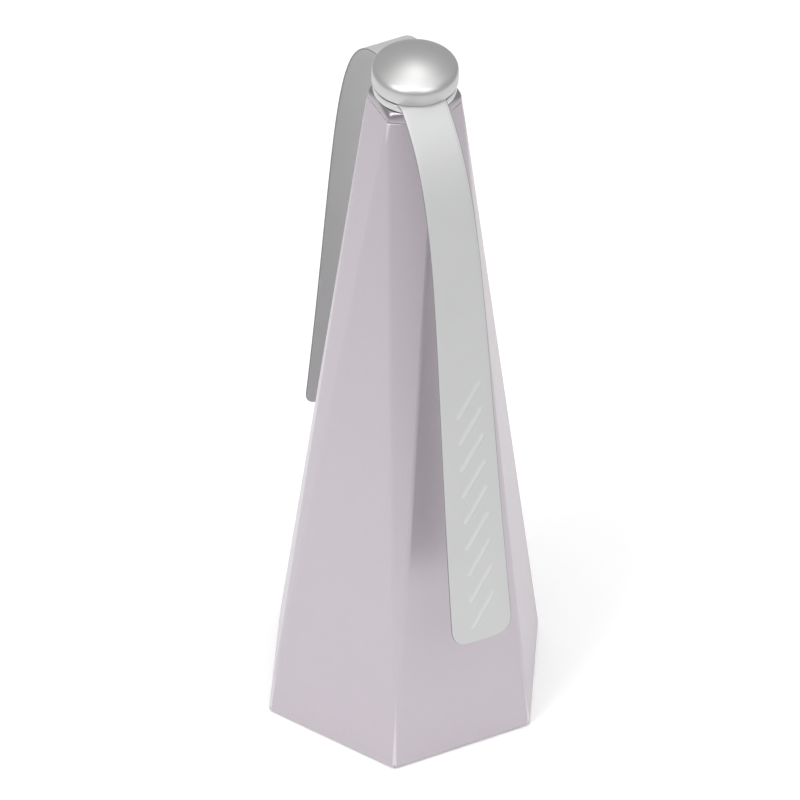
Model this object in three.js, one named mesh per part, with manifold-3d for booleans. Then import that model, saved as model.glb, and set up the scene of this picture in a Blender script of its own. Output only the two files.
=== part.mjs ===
// Table-top fly fan: a tall faceted tower with a slow battery motor near its top, a domed hub, and two soft
// blades that hang beside the tower at rest and swing out as the hub turns.
// Millimetres, +Z up. The origin is on the table under the middle of the base, with a base corner on -Y.

import * as THREE from 'three';
import { ConvexGeometry } from 'three/addons/geometries/ConvexGeometry.js';
import { mergeVertices } from 'three/addons/utils/BufferGeometryUtils.js';
import Module from 'manifold-3d';

const wasm = await Module();
wasm.setup();

// ---- driving dimensions ------------------------------------------------------------------------------

const SIDES = 6;
const ACROSS_FLATS = 90;          // base hexagon of the tower
const TOP_RADIUS = 15.86;         // top hexagon, centre to corner
const SHELL_HEIGHT = 253;
const WALL = 1.8;
const FOOT_HEIGHT = 1;
const GAP = 0.3;                  // between pieces that touch on the real object
const LAP = 0.1;                  // overlap of two solids that are joined
const PAST = 1;                   // how far a cutting tool reaches past what it cuts

const PLATE = 2.4;                // base plate thickness
const PLATE_MARGIN = 2.8;         // from the shell's outside to the base plate's edge
const FOOT_RADIUS = 4.2;
const FOOT_INSET = 6.2;           // from the plate's corner to the middle of a foot
const FOOT_POCKET = 1.2;
const POST_RADIUS = 3.2;          // screw posts inside the shell
const POST_INSET = 4.2;           // from the inside of the shell to the middle of a post
const POST_TOP = 16;
const POST_CAP = 1;               // thickness of a post's closed end
const SCREW = { radius: 1.1, headRadius: 2.6, head: 1, tip: 13 };
const CROSS = { reach: 2, half: 0.3, depth: 0.5 };        // recess in a base screw's head

const CELL_RADIUS = 7.2;          // AA cell
const CELL_LENGTH = 50.5;
const NUB_RADIUS = 2.7;
const NUB_LENGTH = 1.5;
const CELL_LIFT = 0.4;            // from the plate's top to the cells
const BAY = new THREE.Vector3(59, 30, 15);
const BAY_WALL = 1.5;
const DOOR_LEDGE = 2;             // the door laps the bay's edge by this much
const DOOR = 1.2;                 // door thickness
const DOOR_RECESS = 1.5;
const CONTACT = 0.4;              // contact plate thickness
const CONTACT_HALF = 4.5;         // half the width of a contact for one cell
const CONTACT_LIFT = 0.8;         // from the plate's top to the contacts
const CONTACT_DROP = 1;           // from the bay's top down to the contacts
const TAB = { half: 1, reach: 1.5, slotHalf: 1.5, belowTop: 3 };   // solder tab through the bay's wall
const SPRING = { length: 4.2, turns: 4, start: 3, widening: 1.2, wire: 0.35, foot: 0.4 };
const GRIP = { count: 5, pitch: 1.6, half: 0.35, reach: 7, depth: 0.4, fromEdge: 6 };   // grooves in the door
const LATCH = { half: 4, depth: 1, height: 1.6 };

const SWITCH_Y = -28;             // slide switch, on the underside
const SWITCH_TRAVEL = 4;
const KNOB = new THREE.Vector3(5, 5.4, 0.85);
const KNOB_LIFT = 0.05;
const KNOB_GROOVE = { pitch: 1.3, half: 0.25, depth: 0.3 };
const KNOB_WELL = { end: 1, side: 0.6, depth: 1.2 };      // recess in the plate round the knob's path
const STEM_WIDTH = 2.8;
const STEM_TOP = 2;               // above the bottom of the switch's casing
const CASING = { lift: 0.5, height: 5, endWall: 2, sideWall: 1.5, cavity: 2.4 };
const BOARD = new THREE.Vector3(18, 10, 1.2);

const GEARBOX_Z = 185;            // underside of the gearbox's lower plate
const HOUSING_RADIUS = 18.3;
const HOUSING_PLATE = 1.8;
const UPPER_PLATE_Z = 13;         // from here to AXLE_RADIUS: in the gearbox's own frame
const SHELF_Z = 15.1;
const SHELF = 2;
const LEVEL = { a: 2.8, b: 6.1, c: 9.4 };
const FACE = 2.5;                 // face width of a large gear
const AXLE_RADIUS = 0.75;
const PILLAR_RING = 15.5;
const PILLAR_ANGLES = [-60, 120, 210];
const PILLAR_RADIUS = 2.2;
const SHORT = 0.2;                // how much shorter a gear axle is at each end than the housing
const SLEEVE_RADIUS = 1.4;        // plain part of a compound gear
const OUTPUT_SLEEVE_RADIUS = 3;
const FINE_SCREW = { radius: 0.7, hole: 1, headRadius: 1.5, head: 1.2 };

const MODULE = 0.4;
const PRESSURE_ANGLE = THREE.MathUtils.degToRad(25);
const PINION_TEETH = 12;
const WHEEL_TEETH = 36;
const BACKLASH = 0.12;

const MOTOR_RADIUS = 12.2;
const MOTOR_LENGTH = 12.3;
const MOTOR_SHAFT_RADIUS = 1;
const MOTOR_SHEET = 0.8;          // sheet thickness of the can
const MOTOR_MOUTH = 1.4;          // radius of the can's opening round the shaft
const MOTOR_CORE = { radius: 7.6, fromBottom: 3, fromTop: 2.5 };
const MOTOR_BEARING = { radius: 3, proud: 0.5, seat: 2.5 };
const END_CAP = 1.6;
const TERMINAL = { halfX: 0.2, halfY: 1.2, reach: 3, slotClearance: 0.3, ring: 8 };
const MOTOR_SCREW_RING = 7;
const MOTOR_SCREW = { headRadius: 1.6, head: 0.9, tip: -2 };
const OUTPUT_RADIUS = 1.5;        // output shaft
const RUNNING_GAP = 0.1;
const LOWER_BUSH = { radius: 2.6, flangeRadius: 3.6, flange: 0.8 };
const UPPER_BUSH = { radius: 3, bottom: -4.8 };
const WASHER = { radius: 3.6, thickness: 0.5 };

const COLLAR_SIDE = 1.8;          // from here to CAP: heights above the shell's top edge
const COLLAR_TOP = 4.1;
const COLLAR_TOP_RADIUS = 13.6;
const COLLAR_DRAFT = 0.2;         // the collar's side leans in by this much
const SPIGOT = { bottom: -5, clearance: 0.6 };
const HUB_BOTTOM = 4.45;
const HUB_TOP = 7.15;
const HUB_RADIUS = 13.9;
const HUB_RECESS_RADIUS = 4;
const NOTCH = { clearance: 0.4, start: 1.2, height: 4 };  // in the hub's top, under each blade's bend
const BLADE_Z = 7.7;              // mid-plane of the blade roots in the hub
const CAP = {
  rim: 8.25, wall: 12.2, shoulder: 14.85, apex: 18.35, radius: 14.3, shoulderRadius: 12.8, skin: 1.4,
};
const CAP_BOSS_RADIUS = 3.2;

const BLADE_HEADING = 30;         // degrees from -Y towards +X: over a face of the tower
const BLADE_OFFSET = -3;          // the blade's middle line passes this far to one side of the hub's axis
const BLADE = 0.5;                // thickness
const BLADE_ROOT_WIDTH = 15.8;
const BLADE_TIP_WIDTH = 22.5;
const BLADE_TIP_CORNER = 6.5;
const BLADE_LENGTH = 203.5;       // along the curve, from the crease to the tip
const BLADE_START = 4;            // inner end of the flat root, from the hub's axis
const BLADE_CREASE = 12.5;        // where the flat root ends, from the hub's axis
const FLAP_HINGE = 3.3;           // from the crease to the line that the blade swings about
const FLAP_GAP = 0.5;             // between the seated root and the swinging part
const HANG = {                    // each blade's Bezier handles and end: out from the axis, height
  front: [[42.8, -15.6], [40.1, -68.5], [63.7, -186.3]],
  rear: [[52, 4.5], [44.7, -48.7], [63.49, -180.5]],
};

const WIRE_RADIUS = 0.65;

// ---- values that follow ------------------------------------------------------------------------------

const ROUND = 24;                                     // facets of a round piece
const SMALL_ROUND = 16;
const TINY_ROUND = 12;
const PLATE_ROUND = 32;
const LARGE_ROUND = 48;
const ORIGIN = new THREE.Vector3();
const BASE_RADIUS = ACROSS_FLATS / 2 / Math.cos(Math.PI / SIDES);
const SHELL_TOP_Z = FOOT_HEIGHT + SHELL_HEIGHT;
const PLATE_TOP = FOOT_HEIGHT + PLATE;
const PLATE_RADIUS = BASE_RADIUS - PLATE_MARGIN;
const PITCH = 360 / SIDES;
const FIRST_CORNER = -90;                             // degrees from +X
const POST_AT = [60, 180, 300].map((degrees) => polar(ACROSS_FLATS / 2 - WALL - POST_INSET, degrees));
const FOOT_AT = polygonPoints(PLATE_RADIUS - FOOT_INSET, 0, FIRST_CORNER);
const CELL_Y = CELL_RADIUS + GAP;                     // the cells lie side by side along X
const CONTACT_X = BAY.x / 2 - GAP - CONTACT;          // inner face of the contact plates
const TAB_Z = PLATE_TOP + BAY.z - TAB.belowTop;
const TAB_END = BAY.x / 2 + BAY_WALL + TAB.reach;
const SLOT = { x: (KNOB.x + SWITCH_TRAVEL) / 2 + GAP, y: STEM_WIDTH / 2 + GAP };   // half sizes
const CASING_BOTTOM = PLATE_TOP + CASING.lift;
const BOARD_BOTTOM = CASING_BOTTOM + CASING.height + GAP;
const PILLAR_AT = PILLAR_ANGLES.map((degrees) => polar(PILLAR_RING, degrees));
const MOTOR_SCREW_AT = [180, 270].map((degrees) => polar(MOTOR_SCREW_RING, degrees));
const TERMINAL_AT = [200, 20].map((degrees) => polar(TERMINAL.ring, degrees));
const CENTRE_DISTANCE = MODULE * (PINION_TEETH + WHEEL_TEETH) / 2;
const AXLES = [polar(CENTRE_DISTANCE, 0), polar(CENTRE_DISTANCE, 60)];

// ---- small helpers -----------------------------------------------------------------------------------

function polar(radius, degrees, z = 0) {
  const angle = THREE.MathUtils.degToRad(degrees);
  return new THREE.Vector3(radius * Math.cos(angle), radius * Math.sin(angle), z);
}

function polygonPoints(radius, z, firstDegrees, count = SIDES) {
  return Array.from({ length: count }, (_, i) => polar(radius, firstDegrees + i * 360 / count, z));
}

function solid(geometry) {
  const bare = geometry.clone();
  bare.deleteAttribute('normal');
  bare.deleteAttribute('uv');
  const merged = mergeVertices(bare, 1e-4);
  const corners = Array.from(merged.index.array);
  const triVerts = [];
  for (let i = 0; i < corners.length; i += 3) {
    const [a, b, c] = corners.slice(i, i + 3);
    if (a !== b && b !== c && c !== a) triVerts.push(a, b, c);
  }
  return new wasm.Manifold(new wasm.Mesh({
    numProp: 3,
    vertProperties: Float32Array.from(merged.attributes.position.array),
    triVerts: Uint32Array.from(triVerts),
  }));
}

function toGeometry(manifold) {
  const { vertProperties, triVerts } = manifold.getMesh();
  const geometry = new THREE.BufferGeometry();
  geometry.setAttribute('position', new THREE.BufferAttribute(Float32Array.from(vertProperties), 3));
  geometry.setIndex(new THREE.BufferAttribute(Uint32Array.from(triVerts), 1));
  geometry.computeVertexNormals();
  return geometry;
}

function join(...solids) {
  return solids.reduce((sum, piece) => sum.add(piece));
}

function cut(body, ...tools) {
  return tools.reduce((rest, tool) => rest.subtract(tool), body);
}

function rod(radius, bottom, top, at = ORIGIN, facets = ROUND) {
  const geometry = new THREE.CylinderGeometry(radius, radius, top - bottom, facets);
  geometry.rotateX(Math.PI / 2);
  geometry.translate(at.x, at.y, (bottom + top) / 2);
  return solid(geometry);
}

function block(low, high) {
  const geometry = new THREE.BoxGeometry(high[0] - low[0], high[1] - low[1], high[2] - low[2]);
  geometry.translate((low[0] + high[0]) / 2, (low[1] + high[1]) / 2, (low[2] + high[2]) / 2);
  return solid(geometry);
}

function turned(profile, facets = ROUND) {
  const geometry = new THREE.LatheGeometry(profile.map(([r, z]) => new THREE.Vector2(r, z)), facets);
  geometry.rotateX(Math.PI / 2);
  return solid(geometry);
}

function hull(points) {
  return solid(new ConvexGeometry(points));
}

function hexPrism(radius, bottom, top, firstDegrees = FIRST_CORNER) {
  return hull([...polygonPoints(radius, bottom, firstDegrees), ...polygonPoints(radius, top, firstDegrees)]);
}

function flatPlate(shape, bottom, top) {
  const geometry = new THREE.ExtrudeGeometry(shape, { depth: top - bottom, bevelEnabled: false });
  geometry.translate(0, 0, bottom);
  return solid(geometry);
}

function tubeAlong(points, radius, facets, steps) {
  const outline = polygonPoints(radius, 0, 0, facets).map((p) => new THREE.Vector2(p.x, p.y));
  const section = new THREE.Shape(outline);
  const path = new THREE.CatmullRomCurve3(points);
  return solid(new THREE.ExtrudeGeometry(section, { extrudePath: path, steps, bevelEnabled: false }));
}

const FINISHES = {
  pearl: { color: 0xc9c2ca, roughness: 0.42, metalness: 0.35 },
  silver: { color: 0xc4c4c4, roughness: 0.3, metalness: 0.6 },
  blade: { color: 0xc6c8c8, roughness: 0.45, metalness: 0.1 },
  grey: { color: 0x9a989c, roughness: 0.6, metalness: 0 },
  black: { color: 0x1c1c1e, roughness: 0.7, metalness: 0 },
  white: { color: 0xe8e6e0, roughness: 0.5, metalness: 0 },
  steel: { color: 0xb9bbbd, roughness: 0.3, metalness: 0.9 },
  brass: { color: 0xb8953f, roughness: 0.35, metalness: 0.9 },
  board: { color: 0x2f6b3f, roughness: 0.6, metalness: 0 },
  red: { color: 0xa3201c, roughness: 0.5, metalness: 0 },
};

const fan = new THREE.Group();
const gearbox = new THREE.Group();
gearbox.position.z = GEARBOX_Z;
const hub = new THREE.Group();
hub.position.z = SHELL_TOP_Z;
fan.add(gearbox, hub);

function piece(name, body, finish, parent = fan) {
  const mesh = new THREE.Mesh(toGeometry(body), new THREE.MeshStandardMaterial(FINISHES[finish]));
  mesh.name = name;
  parent.add(mesh);
  return mesh;
}

// ---- tower -------------------------------------------------------------------------------------------

// A hexagonal antiprism: the top hexagon is turned by half a pitch, so the side faces are triangles.
function antiprism(baseRadius, topRadius, bottom, top) {
  return hull([
    ...polygonPoints(baseRadius, bottom, FIRST_CORNER),
    ...polygonPoints(topRadius, top, FIRST_CORNER + PITCH / 2),
  ]);
}

function innerTower() {
  const taper = (BASE_RADIUS - TOP_RADIUS) / SHELL_HEIGHT;
  const wallRadius = WALL / Math.cos(Math.PI / SIDES);
  return antiprism(BASE_RADIUS - wallRadius + taper * PAST, TOP_RADIUS - WALL - taper * PAST,
    FOOT_HEIGHT - PAST, SHELL_TOP_Z + PAST);
}

function makeShell() {
  const outside = antiprism(BASE_RADIUS, TOP_RADIUS, FOOT_HEIGHT, SHELL_TOP_Z);
  const shelfBottom = GEARBOX_Z + SHELF_Z;
  const shelf = rod(2 * HOUSING_RADIUS, shelfBottom, shelfBottom + SHELF);
  const posts = POST_AT.map((at) => rod(POST_RADIUS, PLATE_TOP + GAP, POST_TOP, at, SMALL_ROUND));
  const fittings = join(shelf, ...posts).intersect(outside);
  const holes = [
    rod(HOUSING_RADIUS / 2, shelfBottom - PAST, shelfBottom + SHELF + PAST),
    ...POST_AT.map((at) => rod(SCREW.radius + GAP, 0, POST_TOP - POST_CAP, at, SMALL_ROUND)),
    ...PILLAR_AT.map((at) =>
      rod(FINE_SCREW.hole, shelfBottom - PAST, shelfBottom + SHELF + PAST, at, TINY_ROUND)),
  ];
  piece('tower_shell', cut(join(cut(outside, innerTower()), fittings), ...holes), 'pearl');
}

function makeFeet() {
  const foot = rod(FOOT_RADIUS, 0, FOOT_HEIGHT + FOOT_POCKET - GAP, ORIGIN, SMALL_ROUND);
  FOOT_AT.forEach((at, i) => piece(`rubber_foot_${i + 1}`, foot, 'black').position.copy(at));
}

function makeBaseScrews() {
  const bottom = FOOT_HEIGHT + GAP;
  const top = bottom + SCREW.head;
  const cross = [[CROSS.reach, CROSS.half], [CROSS.half, CROSS.reach]].map(([x, y]) =>
    block([-x, -y, 0], [x, y, bottom + CROSS.depth]));
  const head = cut(rod(SCREW.headRadius, bottom, top, ORIGIN, SMALL_ROUND), ...cross);
  const screw = join(head, rod(SCREW.radius, top - LAP, SCREW.tip, ORIGIN, SMALL_ROUND));
  POST_AT.forEach((at, i) => piece(`base_screw_${i + 1}`, screw, 'steel').position.copy(at));
}

function makeBasePlate() {
  const bayTop = PLATE_TOP + BAY.z;
  const doorSeat = FOOT_HEIGHT + DOOR_RECESS;
  const screwSeat = FOOT_HEIGHT + GAP + SCREW.head + GAP;
  const [x, y] = [BAY.x / 2, BAY.y / 2];
  const bayShell = block([-x - BAY_WALL, -y - BAY_WALL, doorSeat],
    [x + BAY_WALL, y + BAY_WALL, bayTop + BAY_WALL]);
  const well = { x: SLOT.x + KNOB_WELL.end, y: KNOB.y / 2 + KNOB_WELL.side };
  const cuts = [
    block([-x, -y, 0], [x, y, bayTop]),
    block([-x - DOOR_LEDGE, -y - DOOR_LEDGE, 0], [x + DOOR_LEDGE, y + DOOR_LEDGE, doorSeat]),
    block([-well.x, SWITCH_Y - well.y, 0], [well.x, SWITCH_Y + well.y, FOOT_HEIGHT + KNOB_WELL.depth]),
    block([-SLOT.x, SWITCH_Y - SLOT.y, 0], [SLOT.x, SWITCH_Y + SLOT.y, PLATE_TOP + PAST]),
    ...[-CELL_Y, CELL_Y].map((at) => block([x - PAST, at - TAB.slotHalf, TAB_Z - TAB.half],
      [x + BAY_WALL + PAST, at + TAB.slotHalf, TAB_Z + TAB.half])),
    ...FOOT_AT.map((at) => rod(FOOT_RADIUS + GAP, 0, FOOT_HEIGHT + FOOT_POCKET, at, SMALL_ROUND)),
    ...POST_AT.map((at) => rod(SCREW.headRadius + GAP, 0, screwSeat, at, SMALL_ROUND)),
    ...POST_AT.map((at) => rod(SCREW.radius + GAP, 0, PLATE_TOP + PAST, at, SMALL_ROUND)),
  ];
  const plate = hexPrism(PLATE_RADIUS, FOOT_HEIGHT, PLATE_TOP);
  piece('base_plate', cut(join(plate, bayShell), ...cuts), 'grey');
}

function makeCells() {
  const cellZ = PLATE_TOP + CELL_LIFT + CELL_RADIUS;
  const nubTip = CONTACT_X - GAP;
  const body = CELL_LENGTH - NUB_LENGTH;
  const cell = turned([
    [0, 0], [CELL_RADIUS, 0], [CELL_RADIUS, body], [NUB_RADIUS, body], [NUB_RADIUS, CELL_LENGTH],
    [0, CELL_LENGTH],
  ]);
  const turnSteps = 10;
  const steps = SPRING.turns * turnSteps;
  const coil = Array.from({ length: steps + 1 }, (_, i) => {
    const share = i / steps;
    return polar(SPRING.start + SPRING.widening * share, i * 360 / turnSteps, SPRING.length * share);
  });
  const spring = tubeAlong(coil, SPRING.wire, 6, steps);
  [1, -1].forEach((side, i) => {
    const battery = piece(`battery_${i + 1}`, cell, 'black');
    battery.rotation.y = side * Math.PI / 2;
    battery.position.set(side * (nubTip - CELL_LENGTH), -side * CELL_Y, cellZ);
    const contactSpring = piece(`contact_spring_${i + 1}`, spring, 'steel');
    contactSpring.rotation.y = side * Math.PI / 2;
    contactSpring.position.set(-side * (CONTACT_X - GAP - SPRING.foot), -side * CELL_Y, cellZ);
  });
}

function makeContacts() {
  const low = PLATE_TOP + CONTACT_LIFT;
  const high = PLATE_TOP + BAY.z - CONTACT_DROP;
  const tab = block([CONTACT_X, -TAB.half, TAB_Z - CONTACT / 2], [TAB_END, TAB.half, TAB_Z + CONTACT / 2]);
  const single = join(block([CONTACT_X, -CONTACT_HALF, low], [CONTACT_X + CONTACT, CONTACT_HALF, high]), tab);
  piece('contact_positive', single, 'steel').position.y = -CELL_Y;
  piece('contact_negative', single, 'steel').position.y = CELL_Y;
  const bridgeHalf = BAY.y / 2 - 1;
  const bridge = block([-CONTACT_X - CONTACT, -bridgeHalf, low], [-CONTACT_X, bridgeHalf, high]);
  piece('contact_bridge', bridge, 'steel');
}

function makeBatteryDoor() {
  const x = BAY.x / 2 + DOOR_LEDGE - GAP;
  const y = BAY.y / 2 + DOOR_LEDGE - GAP;
  const top = FOOT_HEIGHT + DOOR;
  const latchY = BAY.y / 2 - 2 * GAP;
  const grips = Array.from({ length: GRIP.count }, (_, i) => {
    const at = -y + GRIP.fromEdge + (i - (GRIP.count - 1) / 2) * GRIP.pitch;
    return block([-GRIP.reach, at - GRIP.half, 0], [GRIP.reach, at + GRIP.half, FOOT_HEIGHT + GRIP.depth]);
  });
  const latch = block([-LATCH.half, -latchY, top - LAP],
    [LATCH.half, -latchY + LATCH.depth, top + LATCH.height]);
  piece('battery_door', cut(join(block([-x, -y, FOOT_HEIGHT], [x, y, top]), latch), ...grips), 'grey');
}

function makeSwitch() {
  const bottom = FOOT_HEIGHT + KNOB_LIFT;
  const top = bottom + KNOB.z;
  const grooves = [-1, 0, 1].map((i) => block([i * KNOB_GROOVE.pitch - KNOB_GROOVE.half, -KNOB.y, 0],
    [i * KNOB_GROOVE.pitch + KNOB_GROOVE.half, KNOB.y, bottom + KNOB_GROOVE.depth]));
  const knob = join(
    block([-KNOB.x / 2, -KNOB.y / 2, bottom], [KNOB.x / 2, KNOB.y / 2, top]),
    block([-KNOB.x / 2, -STEM_WIDTH / 2, top - LAP], [KNOB.x / 2, STEM_WIDTH / 2, CASING_BOTTOM + STEM_TOP]),
  );
  piece('switch_knob', cut(knob, ...grooves), 'black').position.set(-SWITCH_TRAVEL / 2, SWITCH_Y, 0);

  const outer = { x: SLOT.x + CASING.endWall, y: SLOT.y + CASING.sideWall };
  const casing = block([-outer.x, -outer.y, CASING_BOTTOM],
    [outer.x, outer.y, CASING_BOTTOM + CASING.height]);
  const cavity = block([-SLOT.x, -SLOT.y, CASING_BOTTOM - PAST],
    [SLOT.x, SLOT.y, CASING_BOTTOM + CASING.cavity]);
  piece('switch_body', cut(casing, cavity), 'steel').position.y = SWITCH_Y;
  piece('switch_board', block([-BOARD.x / 2, -BOARD.y / 2, BOARD_BOTTOM],
    [BOARD.x / 2, BOARD.y / 2, BOARD_BOTTOM + BOARD.z]), 'board').position.y = SWITCH_Y;
}

// ---- gearbox and motor -------------------------------------------------------------------------------

// Involute tooth outline. The first tooth is centred on +X, turned by phase.
function gearShape(teeth, phase) {
  const pitchRadius = MODULE * teeth / 2;
  const base = pitchRadius * Math.cos(PRESSURE_ANGLE);
  const root = pitchRadius - 1.25 * MODULE;
  const tip = pitchRadius + MODULE;
  const involute = (angle) => Math.tan(angle) - angle;
  const halfTooth = Math.PI / (2 * teeth) - BACKLASH / (2 * pitchRadius);
  const halfAngle = (radius) => {
    const angle = Math.acos(Math.min(1, base / Math.max(radius, base)));
    return halfTooth + involute(PRESSURE_ANGLE) - involute(angle);
  };
  const foot = Math.max(root, base);
  const flank = [foot, (foot + tip) / 2, tip];
  if (root < base) flank.unshift(root);
  const points = [];
  for (let i = 0; i < teeth; i += 1) {
    const middle = phase + i * 2 * Math.PI / teeth;
    const side = (sign) => (radius) => {
      const angle = middle + sign * halfAngle(radius);
      return new THREE.Vector2(radius * Math.cos(angle), radius * Math.sin(angle));
    };
    points.push(...flank.map(side(-1)), ...[...flank].reverse().map(side(1)));
  }
  return new THREE.Shape(points);
}

const wheel = (bottom) => flatPlate(gearShape(WHEEL_TEETH, Math.PI / WHEEL_TEETH), bottom, bottom + FACE);
const pinion = (bottom, top) => flatPlate(gearShape(PINION_TEETH, 0), bottom, top);

function makeGears() {
  const freeBottom = HOUSING_PLATE + GAP;
  const freeTop = UPPER_PLATE_Z - GAP;
  const bore = rod(AXLE_RADIUS + RUNNING_GAP, 0, UPPER_PLATE_Z, ORIGIN, SMALL_ROUND);
  const axle = rod(AXLE_RADIUS, SHORT, UPPER_PLATE_Z + HOUSING_PLATE - SHORT, ORIGIN, SMALL_ROUND);
  const trains = [{ level: LEVEL.a, reach: LEVEL.b }, { level: LEVEL.b, reach: LEVEL.c }];
  trains.forEach(({ level, reach }, i) => {
    const body = join(wheel(level), pinion(level + FACE, reach + FACE + SHORT),
      rod(SLEEVE_RADIUS, freeBottom, freeTop));
    piece(`compound_gear_${i + 1}`, cut(body, bore), 'white', gearbox).position.copy(AXLES[i]);
    piece(`gear_axle_${i + 1}`, axle, 'steel', gearbox).position.copy(AXLES[i]);
  });

  const output = join(wheel(LEVEL.c), rod(OUTPUT_SLEEVE_RADIUS, LEVEL.c + FACE - LAP, freeTop));
  piece('output_gear', cut(output, rod(OUTPUT_RADIUS + RUNNING_GAP, 0, UPPER_PLATE_Z)), 'white', gearbox);
  const shaftTop = SHELL_TOP_Z - GEARBOX_Z + CAP.shoulder - CAP.skin - GAP;
  piece('output_shaft', rod(OUTPUT_RADIUS, LEVEL.c - SHORT, shaftTop), 'steel', gearbox);
  const motorPinion = cut(pinion(LEVEL.a - GAP, LEVEL.a + FACE + GAP),
    rod(MOTOR_SHAFT_RADIUS + RUNNING_GAP, 0, LEVEL.b, ORIGIN, SMALL_ROUND));
  piece('motor_pinion', motorPinion, 'brass', gearbox);
}

function makeGearbox() {
  const top = UPPER_PLATE_Z + HOUSING_PLATE;
  const through = (radius, at, facets) => rod(radius, -PAST, top + PAST, at, facets);
  const axleHoles = AXLES.map((at) => through(AXLE_RADIUS + RUNNING_GAP, at, SMALL_ROUND));
  const screwHoles = PILLAR_AT.map((at) => through(FINE_SCREW.hole, at, TINY_ROUND));
  const motorScrewHoles = MOTOR_SCREW_AT.map((at) =>
    rod(FINE_SCREW.hole, -GAP - MOTOR_SHEET - PAST, HOUSING_PLATE + PAST, at, TINY_ROUND));
  const pillars = PILLAR_AT.map((at) =>
    rod(PILLAR_RADIUS, HOUSING_PLATE - LAP, UPPER_PLATE_Z - GAP, at, SMALL_ROUND));
  const lower = join(rod(HOUSING_RADIUS, 0, HOUSING_PLATE, ORIGIN, PLATE_ROUND), ...pillars);
  const shaftHole = rod(2 * MOTOR_SHAFT_RADIUS, -PAST, HOUSING_PLATE + PAST, ORIGIN, SMALL_ROUND);
  piece('gearbox_lower_plate', cut(lower, shaftHole, ...axleHoles, ...screwHoles, ...motorScrewHoles),
    'grey', gearbox);

  const upper = rod(HOUSING_RADIUS, UPPER_PLATE_Z, top, ORIGIN, PLATE_ROUND);
  const bushHole = rod(LOWER_BUSH.radius + RUNNING_GAP, UPPER_PLATE_Z - PAST, top + PAST);
  piece('gearbox_upper_plate', cut(upper, bushHole, ...axleHoles, ...screwHoles), 'grey', gearbox);

  const flangeZ = top + GAP;
  const bush = join(rod(LOWER_BUSH.radius, UPPER_PLATE_Z, flangeZ + LAP),
    rod(LOWER_BUSH.flangeRadius, flangeZ, flangeZ + LOWER_BUSH.flange));
  const bushBore = rod(OUTPUT_RADIUS + RUNNING_GAP, UPPER_PLATE_Z - PAST, flangeZ + LOWER_BUSH.flange + PAST);
  piece('lower_shaft_bush', cut(bush, bushBore), 'brass', gearbox);

  const housingScrew = join(
    rod(FINE_SCREW.headRadius, -GAP - FINE_SCREW.head, -GAP, ORIGIN, SMALL_ROUND),
    rod(FINE_SCREW.radius, -GAP - LAP, SHELF_Z + SHELF - GAP, ORIGIN, TINY_ROUND),
  );
  PILLAR_AT.forEach((at, i) => {
    piece(`gearbox_screw_${i + 1}`, housingScrew, 'steel', gearbox).position.copy(at);
  });
  const seat = HOUSING_PLATE + GAP;
  const motorScrew = join(
    rod(MOTOR_SCREW.headRadius, seat, seat + MOTOR_SCREW.head, ORIGIN, SMALL_ROUND),
    rod(FINE_SCREW.radius, MOTOR_SCREW.tip, seat + LAP, ORIGIN, TINY_ROUND),
  );
  MOTOR_SCREW_AT.forEach((at, i) => {
    piece(`motor_screw_${i + 1}`, motorScrew, 'steel', gearbox).position.copy(at);
  });

  makeMotor(motorScrewHoles);
}

function makeMotor(screwHoles) {
  const top = -GAP;
  const bottom = top - MOTOR_LENGTH;
  const inner = MOTOR_RADIUS - MOTOR_SHEET;
  const can = turned([
    [MOTOR_MOUTH, top], [MOTOR_MOUTH, top - MOTOR_SHEET], [inner, top - MOTOR_SHEET], [inner, bottom],
    [MOTOR_RADIUS, bottom], [MOTOR_RADIUS, top], [MOTOR_MOUTH, top],
  ], PLATE_ROUND);
  piece('motor_can', cut(can, ...screwHoles), 'steel', gearbox);

  const capTop = bottom + END_CAP;
  const bearing = cut(
    rod(MOTOR_BEARING.radius, bottom - PAST, capTop + MOTOR_BEARING.proud),
    rod(MOTOR_SHAFT_RADIUS + RUNNING_GAP, bottom, capTop + PAST),
  );
  const slot = { x: TERMINAL.halfX + TERMINAL.slotClearance, y: TERMINAL.halfY + TERMINAL.slotClearance };
  const terminalSlots = TERMINAL_AT.map((at) => block(
    [at.x - slot.x, at.y - slot.y, bottom - PAST],
    [at.x + slot.x, at.y + slot.y, capTop + PAST],
  ));
  const endCap = cut(rod(inner - GAP, bottom, capTop), rod(MOTOR_BEARING.seat, bottom - PAST, capTop + PAST));
  piece('motor_end_cap', cut(join(endCap, bearing), ...terminalSlots), 'white', gearbox);
  const terminal = block([-TERMINAL.halfX, -TERMINAL.halfY, bottom - TERMINAL.reach],
    [TERMINAL.halfX, TERMINAL.halfY, capTop]);
  TERMINAL_AT.forEach((at, i) => {
    piece(`motor_terminal_${i + 1}`, terminal, 'brass', gearbox).position.copy(at);
  });

  const shaftBottom = bottom + GAP;
  const coreBottom = bottom + MOTOR_CORE.fromBottom;
  const coreTop = top - MOTOR_CORE.fromTop;
  const shaftTop = LEVEL.b - GAP;
  const armature = turned([
    [0, shaftBottom], [MOTOR_SHAFT_RADIUS, shaftBottom], [MOTOR_SHAFT_RADIUS, coreBottom],
    [MOTOR_CORE.radius, coreBottom], [MOTOR_CORE.radius, coreTop], [MOTOR_SHAFT_RADIUS, coreTop],
    [MOTOR_SHAFT_RADIUS, shaftTop], [0, shaftTop],
  ]);
  piece('motor_armature', armature, 'steel', gearbox);
}

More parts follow.
